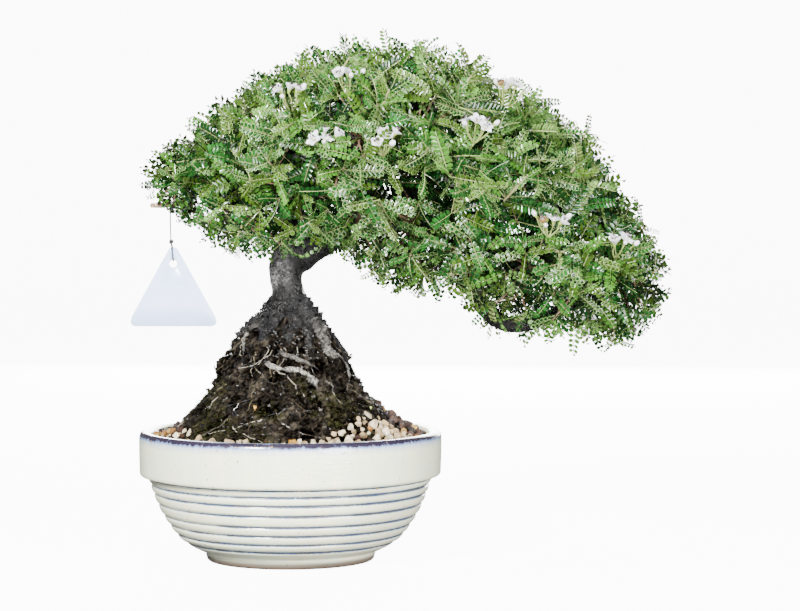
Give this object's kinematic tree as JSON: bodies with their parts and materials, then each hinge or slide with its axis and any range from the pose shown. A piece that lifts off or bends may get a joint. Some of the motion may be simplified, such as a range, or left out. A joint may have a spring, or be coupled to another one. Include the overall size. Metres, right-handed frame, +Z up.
{
  "type": "potted bonsai tree",
  "caption": "Slanting bonsai with exposed roots, a windswept crown of pinnate leaves and small white flowers, in a round glazed bowl with a hanging tag.",
  "frame": {"origin": "centre of the underside of the pot's foot, on the surface that the pot stands on", "axes": "+Z up, +X towards the long side of the crown, +Y away from the viewer through the crown's depth"},
  "size_m": [0.3969, 0.22, 0.3803],
  "materials": {
    "glaze": "gloss",
    "soil": "matte",
    "pumice": "matte",
    "lava": "matte",
    "bark": "matte",
    "tag_plastic": "satin",
    "cord": "matte",
    "leaf": "satin",
    "petal": "matte"
  },
  "bodies": {
    "root": {"pot": "glaze", "soil": "soil", "gravel_pale": "pumice", "gravel_dark": "lava", "trunk": "bark", "tag": "tag_plastic", "tag_cord": "cord", "spray_01": "leaf", "spray_02": "leaf", "spray_03": "leaf", "spray_04": "leaf", "spray_05": "leaf", "spray_06": "leaf", "spray_07": "leaf", "spray_08": "leaf", "spray_09": "leaf", "spray_10": "leaf", "spray_11": "leaf", "spray_12": "leaf", "spray_13": "leaf", "spray_14": "leaf", "spray_15": "leaf", "spray_16": "leaf", "spray_17": "leaf", "spray_18": "leaf", "spray_19": "leaf", "spray_20": "leaf", "spray_21": "leaf", "spray_22": "leaf", "spray_23": "leaf", "spray_24": "leaf", "spray_25": "leaf", "spray_26": "leaf", "spray_27": "leaf", "spray_28": "leaf", "spray_29": "leaf", "spray_30": "leaf", "spray_31": "leaf", "spray_32": "leaf", "spray_33": "leaf", "spray_34": "leaf", "spray_35": "leaf", "spray_36": "leaf", "spray_37": "leaf", "blossom_01": "petal", "blossom_02": "petal", "blossom_03": "petal", "blossom_04": "petal", "blossom_05": "petal", "blossom_06": "petal", "blossom_07": "petal", "blossom_08": "petal", "blossom_09": "petal", "blossom_10": "petal", "blossom_11": "petal"}
  },
  "joints": []
}
